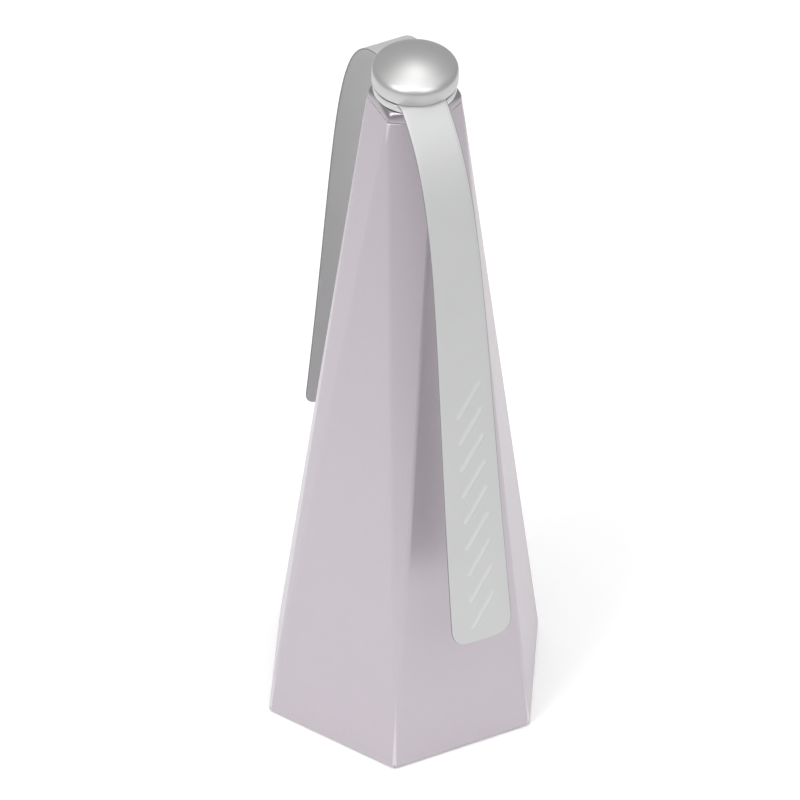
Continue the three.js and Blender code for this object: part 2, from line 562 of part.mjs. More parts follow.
function makeWires() {
  const boardZ = BOARD_BOTTOM + BOARD.z + GAP;
  const tabX = TAB_END + GAP;
  const terminalZ = GEARBOX_Z - GAP - MOTOR_LENGTH - TERMINAL.reach - GAP;
  const [out, back] = TERMINAL_AT.map((at) => [at.x, at.y, terminalZ]);
  const below = ([x, y, z], drop) => [x, y, z - drop];
  const padX = 5;                                       // solder pads on the board, from its middle
  const routes = {
    wire_battery_to_switch: [[tabX, CELL_Y, TAB_Z], [tabX + 2.5, CELL_Y - 1.5, TAB_Z - 1], [36.5, -3, 9],
      [34, -15, 8], [24, -24, 10], [13, -27.5, 14], [padX + 1, SWITCH_Y, boardZ + 1.7],
      [padX, SWITCH_Y, boardZ]],
    wire_switch_to_motor: [[-padX, SWITCH_Y, boardZ], [-padX - 0.4, SWITCH_Y, boardZ + 3.7], [-12, -24, 32],
      [-16, -12, 70], [-14, -6, 120], [-10, -4, 155], below(out, 3), out],
    wire_battery_to_motor: [[tabX, -CELL_Y, TAB_Z], [tabX + 2, -CELL_Y + 0.5, TAB_Z + 3], [31, -5, 34],
      [22, 2, 70], [16, 4, 120], [10, 3.4, 155], below(back, 3), back],
  };
  Object.entries(routes).forEach(([name, route], i) => {
    const points = route.map((p) => new THREE.Vector3(...p));
    piece(name, tubeAlong(points, WIRE_RADIUS, 8, 26), i === 2 ? 'red' : 'black');
  });
}

// ---- hub and blades ----------------------------------------------------------------------------------

function makeCollar() {
  const corner = FIRST_CORNER + PITCH / 2;
  const ring = hull([
    ...polygonPoints(TOP_RADIUS, GAP, corner),
    ...polygonPoints(TOP_RADIUS - COLLAR_DRAFT, COLLAR_SIDE, corner),
    ...polygonPoints(COLLAR_TOP_RADIUS, COLLAR_TOP, 0, ROUND),
  ]);
  const spigot = hexPrism(TOP_RADIUS - WALL - SPIGOT.clearance, SPIGOT.bottom, GAP + LAP, corner);
  const bushHole = rod(UPPER_BUSH.radius + RUNNING_GAP, SPIGOT.bottom - PAST, COLLAR_TOP + PAST);
  piece('top_collar', cut(join(ring, spigot), bushHole), 'pearl', hub);

  const shaftHole = rod(OUTPUT_RADIUS + RUNNING_GAP, SPIGOT.bottom - PAST, HUB_TOP);
  const bush = rod(UPPER_BUSH.radius, UPPER_BUSH.bottom, COLLAR_TOP - RUNNING_GAP);
  piece('upper_shaft_bush', cut(bush, shaftHole), 'brass', hub);
  const washerBottom = COLLAR_TOP + GAP;
  const washer = rod(WASHER.radius, washerBottom, washerBottom + WASHER.thickness);
  piece('thrust_washer', cut(washer, shaftHole), 'white', hub);
}

// Both blades and their seats are made along +X and turned to their heading by their group.
function bladeFrame(name) {
  const frame = new THREE.Group();
  const turn = name === 'front' ? 0 : 180;
  frame.rotation.z = THREE.MathUtils.degToRad(FIRST_CORNER + BLADE_HEADING + turn);
  hub.add(frame);
  return frame;
}

function makeHubBase() {
  const bore = rod(OUTPUT_RADIUS + RUNNING_GAP, 0, CAP.shoulder);
  const recess = rod(HUB_RECESS_RADIUS, 0, COLLAR_TOP + GAP + WASHER.thickness + GAP);
  const disc = rod(HUB_RADIUS, HUB_BOTTOM, HUB_TOP, ORIGIN, LARGE_ROUND);
  const notches = [0, 180].map((turn) => {
    const geometry = new THREE.BoxGeometry(HUB_RADIUS, BLADE_ROOT_WIDTH + 2 * NOTCH.clearance, NOTCH.height);
    geometry.translate(BLADE_CREASE - NOTCH.start + HUB_RADIUS / 2, BLADE_OFFSET, HUB_TOP);
    geometry.rotateZ(THREE.MathUtils.degToRad(FIRST_CORNER + BLADE_HEADING + turn));
    return solid(geometry);
  });
  piece('hub_base', cut(disc, bore, recess, ...notches), 'silver', hub);
}

function makeHubCap() {
  const { rim, wall, shoulder, apex, radius, shoulderRadius, skin } = CAP;
  const fillet = new THREE.QuadraticBezierCurve(new THREE.Vector2(radius, wall),
    new THREE.Vector2(radius, shoulder - 0.6), new THREE.Vector2(shoulderRadius, shoulder)).getPoints(3);
  const dome = new THREE.QuadraticBezierCurve(new THREE.Vector2(shoulderRadius, shoulder),
    new THREE.Vector2(shoulderRadius * 0.55, apex), new THREE.Vector2(0, apex)).getPoints(6);
  const outside = [...fillet, ...dome.slice(1)].map((p) => [p.x, p.y]);
  const bore = OUTPUT_RADIUS + RUNNING_GAP;
  const ceiling = shoulder - skin;
  const profile = [
    [0, ceiling], [bore, ceiling], [bore, rim], [CAP_BOSS_RADIUS, rim], [CAP_BOSS_RADIUS, ceiling],
    [radius - 3 * skin, ceiling], [radius - skin, wall], [radius - skin, rim], [radius, rim], ...outside,
  ];
  piece('hub_cap', turned(profile, LARGE_ROUND), 'silver', hub);
}

function hangingCurve(name) {
  const [first, second, tip] = HANG[name].map(([out, up]) => new THREE.Vector2(out, up));
  return new THREE.CubicBezierCurve(new THREE.Vector2(BLADE_CREASE, BLADE_Z), first, second, tip);
}

// A strip of the blade's thickness, seen from its side, that follows the given middle line.
function stripShape(middle) {
  const offset = (sign) => middle.map((point, i) => {
    const before = middle[Math.max(0, i - 1)];
    const after = middle[Math.min(middle.length - 1, i + 1)];
    const along = after.clone().sub(before).normalize();
    return new THREE.Vector2(point.x - along.y * sign * BLADE / 2, point.y + along.x * sign * BLADE / 2);
  });
  return new THREE.Shape([...offset(-1), ...offset(1).reverse()]);
}

function strip(middle) {
  const settings = { depth: 2 * BLADE_TIP_WIDTH, bevelEnabled: false };
  const geometry = new THREE.ExtrudeGeometry(stripShape(middle), settings);
  geometry.translate(0, 0, -BLADE_TIP_WIDTH);
  geometry.rotateX(Math.PI / 2);
  return solid(geometry);
}

// The blade's outline seen from straight in front, as a slab that reaches from the hub past the tip.
function outlineSlab(tip) {
  const top = BLADE_Z + 10;
  const corner = BLADE_TIP_CORNER;
  const half = BLADE_TIP_WIDTH / 2;
  const rootHalf = BLADE_ROOT_WIDTH / 2;
  const outline = new THREE.Shape();
  outline.moveTo(rootHalf, top);
  outline.lineTo(half, tip + corner);
  outline.quadraticCurveTo(half, tip, half - corner, tip);
  outline.lineTo(-half + corner, tip);
  outline.quadraticCurveTo(-half, tip, -half, tip + corner);
  outline.lineTo(-rootHalf, top);
  const geometry = new THREE.ExtrudeGeometry(outline, { depth: 100, bevelEnabled: false, curveSegments: 6 });
  geometry.rotateX(Math.PI / 2);
  geometry.rotateZ(Math.PI / 2);
  geometry.translate(0, BLADE_OFFSET, 0);
  return solid(geometry);
}

function makeBlade(name) {
  const frame = bladeFrame(name);
  const curve = hangingCurve(name);
  const total = curve.getLength();
  const along = (distance) => curve.getPointAt(Math.min(1, distance / total));
  const rootEnd = FLAP_HINGE - FLAP_GAP / 2;
  const slab = outlineSlab(HANG[name][2][1]);
  const bend = [0, 0.5, 1].map((t) => along(t * rootEnd));
  const root = [new THREE.Vector2(BLADE_START, BLADE_Z), ...bend];
  piece(`blade_root_${name}`, strip(root).intersect(slab), 'blade', frame);
  const steps = 20;
  const start = FLAP_HINGE + FLAP_GAP / 2;
  const crowding = 1.3;                                 // steps are shorter near the hinge
  const blade = Array.from({ length: steps + 1 }, (_, i) =>
    along(start + (BLADE_LENGTH - start) * (i / steps) ** crowding));
  piece(`blade_${name}`, strip(blade).intersect(slab), 'blade', frame);
}

makeShell();
makeFeet();
makeBaseScrews();
makeBasePlate();
makeCells();
makeContacts();
makeBatteryDoor();
makeSwitch();
makeGears();
makeGearbox();
makeWires();
makeCollar();
makeHubBase();
makeHubCap();
makeBlade('front');
makeBlade('rear');

export default fan;
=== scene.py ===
"""The looks of a table-top fly fan: a faceted pearl tower, a satin silver hub and two soft hanging blades.

Metres, +Z up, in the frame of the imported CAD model. Sizes come from the model's own nodes. The ones that its
boxes don't give, such as wall thickness and roundings, are named here.
"""

import math

import bmesh
import bpy
import numpy as np
from mathutils import Matrix, Vector


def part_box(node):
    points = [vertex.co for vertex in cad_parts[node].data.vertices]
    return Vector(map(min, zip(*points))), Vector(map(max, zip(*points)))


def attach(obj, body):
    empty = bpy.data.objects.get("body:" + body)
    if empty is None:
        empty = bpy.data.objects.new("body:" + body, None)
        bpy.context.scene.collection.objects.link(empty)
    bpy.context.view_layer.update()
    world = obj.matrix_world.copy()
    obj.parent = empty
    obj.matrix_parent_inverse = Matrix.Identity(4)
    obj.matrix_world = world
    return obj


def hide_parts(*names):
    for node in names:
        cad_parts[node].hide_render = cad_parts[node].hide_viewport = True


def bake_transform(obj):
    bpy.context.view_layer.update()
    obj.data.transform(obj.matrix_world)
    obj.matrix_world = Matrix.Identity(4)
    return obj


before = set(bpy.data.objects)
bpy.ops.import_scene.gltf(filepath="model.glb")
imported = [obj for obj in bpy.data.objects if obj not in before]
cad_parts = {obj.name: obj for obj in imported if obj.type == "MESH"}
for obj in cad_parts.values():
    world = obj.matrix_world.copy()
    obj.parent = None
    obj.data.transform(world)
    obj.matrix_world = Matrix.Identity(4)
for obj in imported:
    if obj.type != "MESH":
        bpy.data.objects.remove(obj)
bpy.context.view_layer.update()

MM = 0.001
SIDES = 6
BASE_SCREWS = 3
PITCH = 2 * math.pi / SIDES
FIRST_CORNER = -math.pi / 2         # direction of the tower's first base corner

# ---- sizes -----------------------------------------------------------------------------------------------

SHELL_LOW, SHELL_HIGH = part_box("tower_shell")
BASE_RADIUS = SHELL_HIGH.y          # base hexagon, centre to corner
TOP_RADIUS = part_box("top_collar")[1].x
TOP_Z = SHELL_HIGH.z
WALL = 1.8 * MM
RIDGE = 1.0 * MM                    # how far the rounding of a slanted edge reaches on to each face
RIM_SHARE = 0.3                     # roundings of the shell's rims, as a share of RIDGE
RIDGE_STEPS = 4
PLATE = 2.4 * MM                    # base plate thickness
GAP = 0.3 * MM                      # between pieces that touch on the real object
RUNNING_GAP = 0.1 * MM              # round the shaft and the bush
POST_RADIUS = 3.2 * MM              # screw posts inside the shell
POST_TOP = 16 * MM
POST_CAP = 1 * MM                   # thickness of a post's closed end
POST_BORE = 1.4 * MM
SHELF = 2 * MM                      # thickness of the shelf that carries the gearbox
SHELF_Z = 200.1 * MM
SHELF_BORE = 9.15 * MM

COLLAR_LOW, COLLAR_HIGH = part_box("top_collar")
COLLAR_SIDE = 1.5 * MM              # top of the collar's straight hexagonal side, above the shell's edge
COLLAR_TOP_RADIUS = 13.6 * MM
COLLAR_CORNER = 0.35 * MM           # how far the hexagon's corners are cut back
COLLAR_EDGE = 0.12 * MM             # chamfer along the collar's lower edge
COLLAR_DRAFT = 0.1 * MM             # the straight side leans in by this much
COLLAR_LIP = 0.3 * MM               # how far the round top stays inside COLLAR_TOP_RADIUS
BUSH_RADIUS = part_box("upper_shaft_bush")[1].x
SPIGOT_CLEARANCE = 0.6 * MM
SPIGOT_RADIUS = TOP_RADIUS - WALL - SPIGOT_CLEARANCE

HUB_LOW, HUB_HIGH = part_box("hub_base")
HUB_RADIUS = HUB_HIGH.x
HUB_RECESS = 0.75 * MM              # depth of the recess in the hub's underside, over the washer
HUB_RECESS_RADIUS = 4 * MM
NOTCH_CLEARANCE = 0.4 * MM          # NOTCH: in the hub's top, under each blade's bend
NOTCH_START = 1.2 * MM              # from the crease towards the axis
NOTCH_DEPTH = 2 * MM
CAP_LOW, CAP_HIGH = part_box("hub_cap")
CAP_RADIUS = CAP_HIGH.x
CAP_WALL = 3.95 * MM                # straight part of the cap's side
CAP_SHOULDER = 6.6 * MM             # rim to where the dome starts
CAP_SHOULDER_RADIUS = 12.8 * MM
CAP_SKIN = 1.4 * MM
CAP_BOSS_RADIUS = 3.2 * MM
CAP_RIM = 0.25 * MM                 # rounding of the cap's lower edge
SHAFT_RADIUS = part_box("output_shaft")[1].x

BLADE_THICKNESS = 0.5 * MM
BLADE_ROOT_WIDTH = 15.8 * MM
BLADE_TIP_WIDTH = 22.5 * MM
BLADE_TIP_CORNER = 6.5 * MM
BLADE_ROOT_START = 4 * MM           # inner end of the flat root, from the axis
BLADE_CREASE = 12.5 * MM            # where the flat root ends, from the axis
BLADE_BEND = 14 * MM                # length past the crease that holds the tight bend
BLADE_TAPER_TOP = 10 * MM           # above the root: the height where the taper would reach the root's width
BLADE_OFFSET = -3 * MM              # the middle line passes this far to one side of the hub's axis
BLADE_HEADING = FIRST_CORNER + PITCH / 2
BLADE_Z = TOP_Z + 7.7 * MM          # mid-plane of the roots in the hub
# Each blade's hang: the last three Bezier points, out from the axis and up from the shell's top, in mm.
HANG = {
    "front": ((42.8, -15.6), (40.1, -68.5), (63.7, -186.3)),
    "rear": ((52, 4.5), (44.7, -48.7), (63.49, -180.5)),
}
BLADE_TURN = {"front": 0.0, "rear": math.pi}

STRIPES = 9
STRIPE_FIRST = 108.7 * MM           # crease to the middle of the first stripe
STRIPE_PITCH = 10.42 * MM
STRIPE_SIDE = 0.9 * MM              # from the blade's middle line
STRIPE_LENGTH = 15.4 * MM
STRIPE_WIDTH = 2.0 * MM
STRIPE_SLANT = math.radians(54)
STRIPE_PROUD = 0.03 * MM
STRIPE_BURY = 0.05 * MM             # how deep the stripe's edges reach into the film
STRIPE_CHAMFER = 0.06 * MM

ROUND = 96                          # facets of a large round piece
FINE = 48                           # facets of a small one
ONE_POINT = 1e-6                    # points closer than this are merged

# ---- shapes ----------------------------------------------------------------------------------------------


def polar(radius, angle, z=0.0):
    return Vector((radius * math.cos(angle), radius * math.sin(angle), z))


def ring(radius, z, count, first=0.0):
    return [polar(radius, first + 2 * math.pi * i / count, z) for i in range(count)]


def loft(rings, closed=False):
    """A skin's vertices and faces, through rings of equally many points. An open one gets end caps."""
    count = len(rings[0])
    vertices = [point for points in rings for point in points]
    spans = len(rings) if closed else len(rings) - 1
    faces = []
    for i in range(spans):
        here = i * count
        there = (i + 1) % len(rings) * count
        for j in range(count):
            k = (j + 1) % count
            faces.append((here + j, here + k, there + k, there + j))
    if not closed:
        faces.append(tuple(reversed(range(count))))
        faces.append(tuple(range(len(vertices) - count, len(vertices))))
    return vertices, faces


def rounded(corners, steps=4):
    """The closed outline through corners (x, y, rounding radius), with an arc at each that has a radius."""
    outline = []
    for i, (x, y, radius) in enumerate(corners):
        here = Vector((x, y))
        if radius == 0:
            outline.append(here)
            continue
        before = (Vector(corners[i - 1][:2]) - here).normalized()
        after = (Vector(corners[(i + 1) % len(corners)][:2]) - here).normalized()
        half = before.angle(after) / 2
        centre = here + (before + after).normalized() * radius / math.sin(half)
        start = here + before * radius / math.tan(half) - centre
        end = here + after * radius / math.tan(half) - centre
        sweep = start.angle(end)
        for k in range(steps + 1):
            share = k / steps
            spoke = start * math.sin((1 - share) * sweep) + end * math.sin(share * sweep)
            outline.append(centre + spoke / math.sin(sweep))
    return outline


def lathe(profile, count=ROUND):
    """A turned skin round +Z through a closed outline of (radius, height)."""
    return loft([ring(max(r, 0.0), z, count) for r, z in profile], closed=True)


def joined(*skins):
    """Several skins as one."""
    vertices, faces = [], []
    for more_vertices, more_faces in skins:
        first = len(vertices)
        vertices.extend(more_vertices)
        faces.extend(tuple(first + i for i in face) for face in more_faces)
    return vertices, faces


def moved(skin, matrix):
    vertices, faces = skin
    return [matrix @ Vector(v) for v in vertices], faces


def piece(name, skin, material, crease=35):
    """A new object with the skin's shape. Edges that turn more than the crease angle stay sharp."""
    mesh = bpy.data.meshes.new(name)
    mesh.from_pydata([tuple(v) for v in skin[0]], [], skin[1])
    shape = bmesh.new()
    shape.from_mesh(mesh)
    bmesh.ops.remove_doubles(shape, verts=shape.verts, dist=ONE_POINT)
    bmesh.ops.recalc_face_normals(shape, faces=shape.faces)
    shape.to_mesh(mesh)
    shape.free()
    mesh.shade_smooth()
    mesh.set_sharp_from_angle(angle=math.radians(crease))
    mesh.materials.append(material)
    made = bpy.data.objects.new(name, mesh)
    bpy.context.scene.collection.objects.link(made)
    return made


def settle(made):
    """Puts the modifiers' result into the piece's own mesh."""
    graph = bpy.context.evaluated_depsgraph_get()
    mesh = bpy.data.meshes.new_from_object(made.evaluated_get(graph))
    made.modifiers.clear()
    made.data = mesh


def cut(made, skin):
    """Takes the closed skin's volume away from the piece."""
    tool = piece(made.name + "_tool", skin, made.data.materials[0])
    change = made.modifiers.new("cut", "BOOLEAN")
    change.operation = "DIFFERENCE"
    change.solver = "EXACT"
    change.object = tool
    settle(made)
    bpy.data.objects.remove(tool)


def rounded_edges(made, width, segments=2, angle=40):
    """Rounds edges that turn more than the angle, and keeps the flats flat."""
    bevel = made.modifiers.new("rounding", "BEVEL")
    bevel.width = width
    bevel.segments = segments
    bevel.limit_method = "ANGLE"
    bevel.angle_limit = math.radians(angle)
    made.modifiers.new("flats", "WEIGHTED_NORMAL").keep_sharp = True


# ---- materials -------------------------------------------------------------------------------------------


class Finish:
    """A material in the making: a principled shader, and short ways to add nodes in object coordinates."""

    def __init__(self, name, **values):
        self.material = bpy.data.materials.new(name)
        self.material.use_nodes = True
        self.tree = self.material.node_tree
        self.shader = self.tree.nodes["Principled BSDF"]
        self.place = self.tree.nodes.new("ShaderNodeTexCoord").outputs["Object"]
        for socket, value in values.items():
            self.set(socket, value)

    def set(self, socket, value):
        target = self.shader.inputs[socket.replace("_", " ")]
        if isinstance(value, bpy.types.NodeSocket):
            self.tree.links.new(value, target)
        else:
            target.default_value = value

    def node(self, kind, settings=(), **inputs):
        made = self.tree.nodes.new("ShaderNode" + kind)
        for key, value in dict(settings).items():
            setattr(made, key, value)
        for key, value in inputs.items():
            target = made.inputs[key.replace("_", " ")]
            if isinstance(value, bpy.types.NodeSocket):
                self.tree.links.new(value, target)
            else:
                target.default_value = value
        return made

    def noise(self, size, detail=2.0, stretch=(1, 1, 1)):
        """Noise from 0 to 1 with features of about that size, longer along the axes that are stretched."""
        place = self.node("Mapping", Vector=self.place, Scale=[1 / s for s in stretch]).outputs["Vector"]
        return self.node("TexNoise", Vector=place, Scale=1 / size, Detail=detail).outputs[0]

    def grains(self, size):
        """A random value from 0 to 1 for each grain of about that size."""
        cells = self.node("TexVoronoi", Vector=self.place, Scale=1 / size)
        return self.node("SeparateColor", Color=cells.outputs["Color"]).outputs["Red"]

    def between(self, factor, low, high):
        """The value from low to high that the factor from 0 to 1 picks."""
        made = self.node("MapRange", Value=factor)
        made.inputs["To Min"].default_value = low
        made.inputs["To Max"].default_value = high
        return made.outputs["Result"]

    def blend(self, factor, first, second):
        """A colour between the two."""
        made = self.node("Mix", {"data_type": "RGBA"})
        for index, value in ((0, factor), (6, first), (7, second)):
            if isinstance(value, bpy.types.NodeSocket):
                self.tree.links.new(value, made.inputs[index])
            else:
                made.inputs[index].default_value = value
        return made.outputs[2]

    def bump(self, height, depth, below=None):
        """Relief of that depth in metres, on top of the relief below it."""
        made = self.node("Bump", Height=height, Distance=depth, Strength=1.0)
        if below is not None:
            self.tree.links.new(below, made.inputs["Normal"])
        return made.outputs["Normal"]


def grey(level, warmth=0.0, mauve=0.0):
    """A near-grey colour, shifted towards warm or towards mauve."""
    return (level + warmth + mauve, level - mauve, level - warmth + mauve, 1.0)


def tone(colour, share):
    """The colour made lighter or darker."""
    return (*(min(1.0, channel * share) for channel in colour[:3]), 1.0)


MAUVE_SILVER = (0.49, 0.446, 0.486, 1.0)
# Painted highlight: the pale colour that the tower's ridges are lightened towards.
PAINTED_RIDGE_HIGHLIGHT = (0.8, 0.77, 0.8, 1.0)


def pearl_paint(name, metallic, gloss, share=1.0):
    """Satin mauve-silver paint with fine metal flake, and a painted highlight that lightens it along the
    tower's ridges.
    """
    paint = tone(MAUVE_SILVER, share)
    finish = Finish(name, Metallic=metallic, Coat_Weight=gloss, Coat_Roughness=0.2, Specular_IOR_Level=0.5)
    flake = finish.grains(0.28 * MM)
    cloud = finish.noise(35 * MM, 3)
    base = finish.blend(finish.between(cloud, 0.2, 0.8), tone(paint, 0.985), tone(paint, 1.015))
    flaked = finish.blend(finish.between(flake, 0.0, 0.16), base, tone(paint, 1.3))
    # Painted highlight: lighter paint inside the ridges' roundings, where the ridge value is 1.
    ridge = finish.node("Attribute", {"attribute_name": "ridge"}).outputs["Fac"]
    ridge_highlight = finish.blend(finish.between(ridge, 0.0, 0.5), flaked, PAINTED_RIDGE_HIGHLIGHT)
    finish.set("Base_Color", ridge_highlight)
    rough = 0.4 - gloss / 3
    spread = 0.035
    finish.set("Roughness", finish.between(finish.noise(6 * MM, 4), rough - spread, rough + spread))
    grain = finish.bump(flake, 0.004 * MM)
    finish.set("Normal", finish.bump(finish.noise(1.2 * MM, 3), 0.006 * MM, grain))
    return finish.material


def silver_plating(name, level, metallic):
    """Satin silver plating over a moulding: soft cloudiness and fine grain."""
    finish = Finish(name, Metallic=metallic, Specular_IOR_Level=0.5)
    cloud = finish.noise(9 * MM, 4)
    grain = finish.noise(0.25 * MM, 2)
    silver = grey(level, 0.002)
    finish.set("Base_Color", finish.blend(cloud, tone(silver, 0.97), tone(silver, 1.03)))
    finish.set("Roughness", finish.between(cloud, 0.37, 0.43))
    finish.set("Normal", finish.bump(grain, 0.0015 * MM))
    return finish.material


def blade_film():
    """Soft light grey film with a fine calendered grain along its length and faint handling marks."""
    finish = Finish("blade_film", Metallic=0.25, Specular_IOR_Level=0.45, Sheen_Weight=0.05)
    film = (0.565, 0.57, 0.568, 1.0)
    cloud = finish.noise(22 * MM, 4)
    grain = finish.noise(0.3 * MM, 2, (1, 1, 6))
    base = finish.blend(cloud, tone(film, 0.975), tone(film, 1.025))
    finish.set("Base_Color", finish.blend(finish.between(grain, 0.0, 0.1), base, tone(film, 1.2)))
    finish.set("Roughness", finish.between(finish.noise(3 * MM, 5), 0.4, 0.5))
    ripple = finish.bump(finish.noise(14 * MM, 1), 0.03 * MM)
    finish.set("Normal", finish.bump(grain, 0.002 * MM, ripple))
    return finish.material


def stripe_foil():
    """The light-catching stripes hot-stamped on the blades: brighter than the film, with a fine grain."""
    finish = Finish("stripe_foil", Metallic=0.3, Specular_IOR_Level=0.5)
    foil = (0.635, 0.643, 0.639, 1.0)
    grain = finish.noise(0.2 * MM, 2)
    finish.set("Base_Color", finish.blend(grain, tone(foil, 0.95), tone(foil, 1.05)))
    finish.set("Roughness", finish.between(finish.noise(1.5 * MM, 3), 0.32, 0.42))
    finish.set("Normal", finish.bump(grain, 0.002 * MM))
    return finish.material


def moulded(name, colour, roughness=0.5, texture=0.01 * MM, grain_size=0.35 * MM):
    """Moulded plastic: spark-eroded texture, slight cloudiness, and rubbed patches with more gloss."""
    finish = Finish(name, Specular_IOR_Level=0.45)
    cloud = finish.noise(12 * MM, 4)
    rubbed = finish.noise(5 * MM, 5)
    finish.set("Base_Color", finish.blend(cloud, tone(colour, 0.94), tone(colour, 1.07)))
    finish.set("Roughness", finish.between(rubbed, roughness - 0.08, roughness + 0.08))
    finish.set("Normal", finish.bump(finish.noise(grain_size, 3), texture))
    return finish.material


def rubber():
    """Black rubber with a fine bloom and dust picked up from the table."""
    finish = Finish("rubber", Specular_IOR_Level=0.3, Sheen_Weight=0.15, Sheen_Roughness=0.5)
    dust = finish.noise(1.1 * MM, 6)
    finish.set("Base_Color", finish.blend(finish.between(dust, 0.0, 0.45), grey(0.022), grey(0.09, 0.004)))
    finish.set("Roughness", finish.between(dust, 0.68, 0.86))
    finish.set("Normal", finish.bump(finish.noise(0.5 * MM, 4), 0.02 * MM))
    return finish.material


def metal(name, colour, roughness, stretch=(1, 1, 1)):
    """Bare or plated metal: tool or rolling marks along one axis, and a cloudy tarnish."""
    finish = Finish(name, Metallic=0.95)
    marks = finish.noise(0.3 * MM, 3, stretch)
    tarnish = finish.noise(4 * MM, 5)
    finish.set("Base_Color", finish.blend(tarnish, tone(colour, 0.85), tone(colour, 1.08)))
    finish.set("Roughness", finish.between(tarnish, roughness - 0.07, roughness + 0.09))
    finish.set("Normal", finish.bump(marks, 0.004 * MM))
    return finish.material


def solder_mask():
    """Circuit board: green mask over faint traces."""
    finish = Finish("solder_mask", Coat_Weight=0.4, Coat_Roughness=0.2)
    traces = finish.node("TexBrick", Vector=finish.place, Scale=1.0)
    traces.inputs["Brick Width"].default_value = 3.2 * MM
    traces.inputs["Row Height"].default_value = 1.1 * MM
    traces.inputs["Mortar Size"].default_value = 0.12 * MM
    traces.inputs["Color1"].default_value = (0.035, 0.17, 0.06, 1.0)
    traces.inputs["Color2"].default_value = (0.04, 0.2, 0.075, 1.0)
    traces.inputs["Mortar"].default_value = (0.07, 0.3, 0.12, 1.0)
    finish.set("Base_Color", traces.outputs["Color"])
    finish.set("Roughness", finish.between(finish.noise(2 * MM, 4), 0.35, 0.5))
    finish.set("Normal", finish.bump(traces.outputs["Fac"], 0.03 * MM))
    return finish.material


FINISHES = {
    "pearl_body": pearl_paint("pearl_paint", 0.38, 0.2),
    "silver_hub": silver_plating("silver_plating", 0.58, 0.9),
    "blade_film": blade_film(),
    "base_plastic": moulded("base_plastic", (0.36, 0.335, 0.36, 1.0), 0.52),
    "foot_rubber": rubber(),
    "zinc_steel": metal("zinc_steel", grey(0.62, -0.01), 0.3, (1, 1, 8)),
    "brass_parts": metal("brass_parts", (0.62, 0.44, 0.17, 1.0), 0.28, (8, 8, 1)),
    "battery_sleeve": moulded("battery_sleeve", grey(0.035), 0.3, 0.003 * MM, 0.8 * MM),
    "black_plastic": moulded("black_plastic", grey(0.028), 0.5),
    "white_plastic": moulded("white_plastic", grey(0.74, 0.02), 0.42, 0.004 * MM),
    "circuit_board": solder_mask(),
    "red_insulation": moulded("red_insulation", (0.48, 0.03, 0.02, 1.0), 0.4, 0.003 * MM, 0.6 * MM),
}
# Painted shade: the collar's paint is the body's mauve silver made darker, with more metal and gloss.
SHADED_COLLAR_PAINT = pearl_paint("collar_paint_painted_shade", 0.9, 0.3, 0.78)
BRIGHT_PLATING = silver_plating("bright_plating", 0.66, 0.75)
STRIPE_FOIL = stripe_foil()
# Painted shade: dark grey for the narrow faces along the blades' sides.
BLADE_EDGE_SHADE = moulded("blade_edge_painted_shade", grey(0.24), 0.5, 0.003 * MM)
BATTERY_BAND = metal("battery_band", (0.7, 0.36, 0.16, 1.0), 0.3)

# ---- tower -----------------------------------------------------------------------------------------------


def antiprism_wall(base_radius, top_radius):
    """Six base corners, six top corners turned by half a pitch, and the twelve triangles between them."""
    points = ring(base_radius, SHELL_LOW.z, SIDES, FIRST_CORNER)
    points += ring(top_radius, TOP_Z, SIDES, FIRST_CORNER + PITCH / 2)
    faces = []
    for i in range(SIDES):
        after = (i + 1) % SIDES
        faces.append((i, after, SIDES + i))
        faces.append((SIDES + i, after, SIDES + after))
    return points, faces


def tower_walls():
    """The shell as an outer and an inner antiprism joined at both rims."""
    outer, outer_faces = antiprism_wall(BASE_RADIUS, TOP_RADIUS)
    inner, inner_faces = antiprism_wall(BASE_RADIUS - WALL / math.cos(PITCH / 2), TOP_RADIUS - WALL)
    inside = 2 * SIDES
    faces = outer_faces + [tuple(inside + i for i in reversed(face)) for face in inner_faces]
    for start in (0, SIDES):
        for i in range(SIDES):
            here, after = start + i, start + (i + 1) % SIDES
            faces.append((here, after, inside + after, inside + here))
    return outer + inner, faces


def weigh_edges(mesh):
    """Sets how far each outer edge is rounded: ridges fully, rims a little. Inner edges stay sharp."""
    weights = mesh.attributes.new("bevel_weight_edge", "FLOAT", "EDGE")
    for edge in mesh.edges:
        first, second = (mesh.vertices[i].co for i in edge.vertices)
        slanted = abs(first.z - second.z) > TOP_Z / 2
        if on_outside(first) and on_outside(second):
            weights.data[edge.index].value = 1.0 if slanted else RIM_SHARE


def on_outside(point):
    """Whether a corner of the shell is on its outer skin."""
    outer_radius = BASE_RADIUS if point.z < TOP_Z / 2 else TOP_RADIUS
    return math.hypot(point.x, point.y) > outer_radius - WALL / 2


def mark_ridges(mesh):
    """A value of 1 on the vertices inside the roundings and 0 on those that border a flat face."""
    flat_area = 40 * MM * MM            # more than any face of a rounding, less than any flat
    on_flat = set()
    for face in mesh.polygons:
        if face.area > flat_area:
            on_flat.update(face.vertices)
    ridge = mesh.attributes.new("ridge", "FLOAT", "POINT")
    for vertex in mesh.vertices:
        ridge.data[vertex.index].value = 0.0 if vertex.index in on_flat else 1.0


def make_tower():
    """The faceted shell, with rounded ridges between flat faces."""
    tower = piece("tower_skin", tower_walls(), FINISHES["pearl_body"])
    weigh_edges(tower.data)
    bevel = tower.modifiers.new("ridges", "BEVEL")
    bevel.limit_method = "WEIGHT"
    bevel.width = RIDGE
    bevel.segments = RIDGE_STEPS
    settle(tower)
    tower.data.shade_smooth()
    # The ridge values mark where the paint gets its painted highlight.
    mark_ridges(tower.data)
    tower.modifiers.new("flats", "WEIGHTED_NORMAL").keep_sharp = True
    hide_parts("tower_shell")
    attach(tower, "tower")


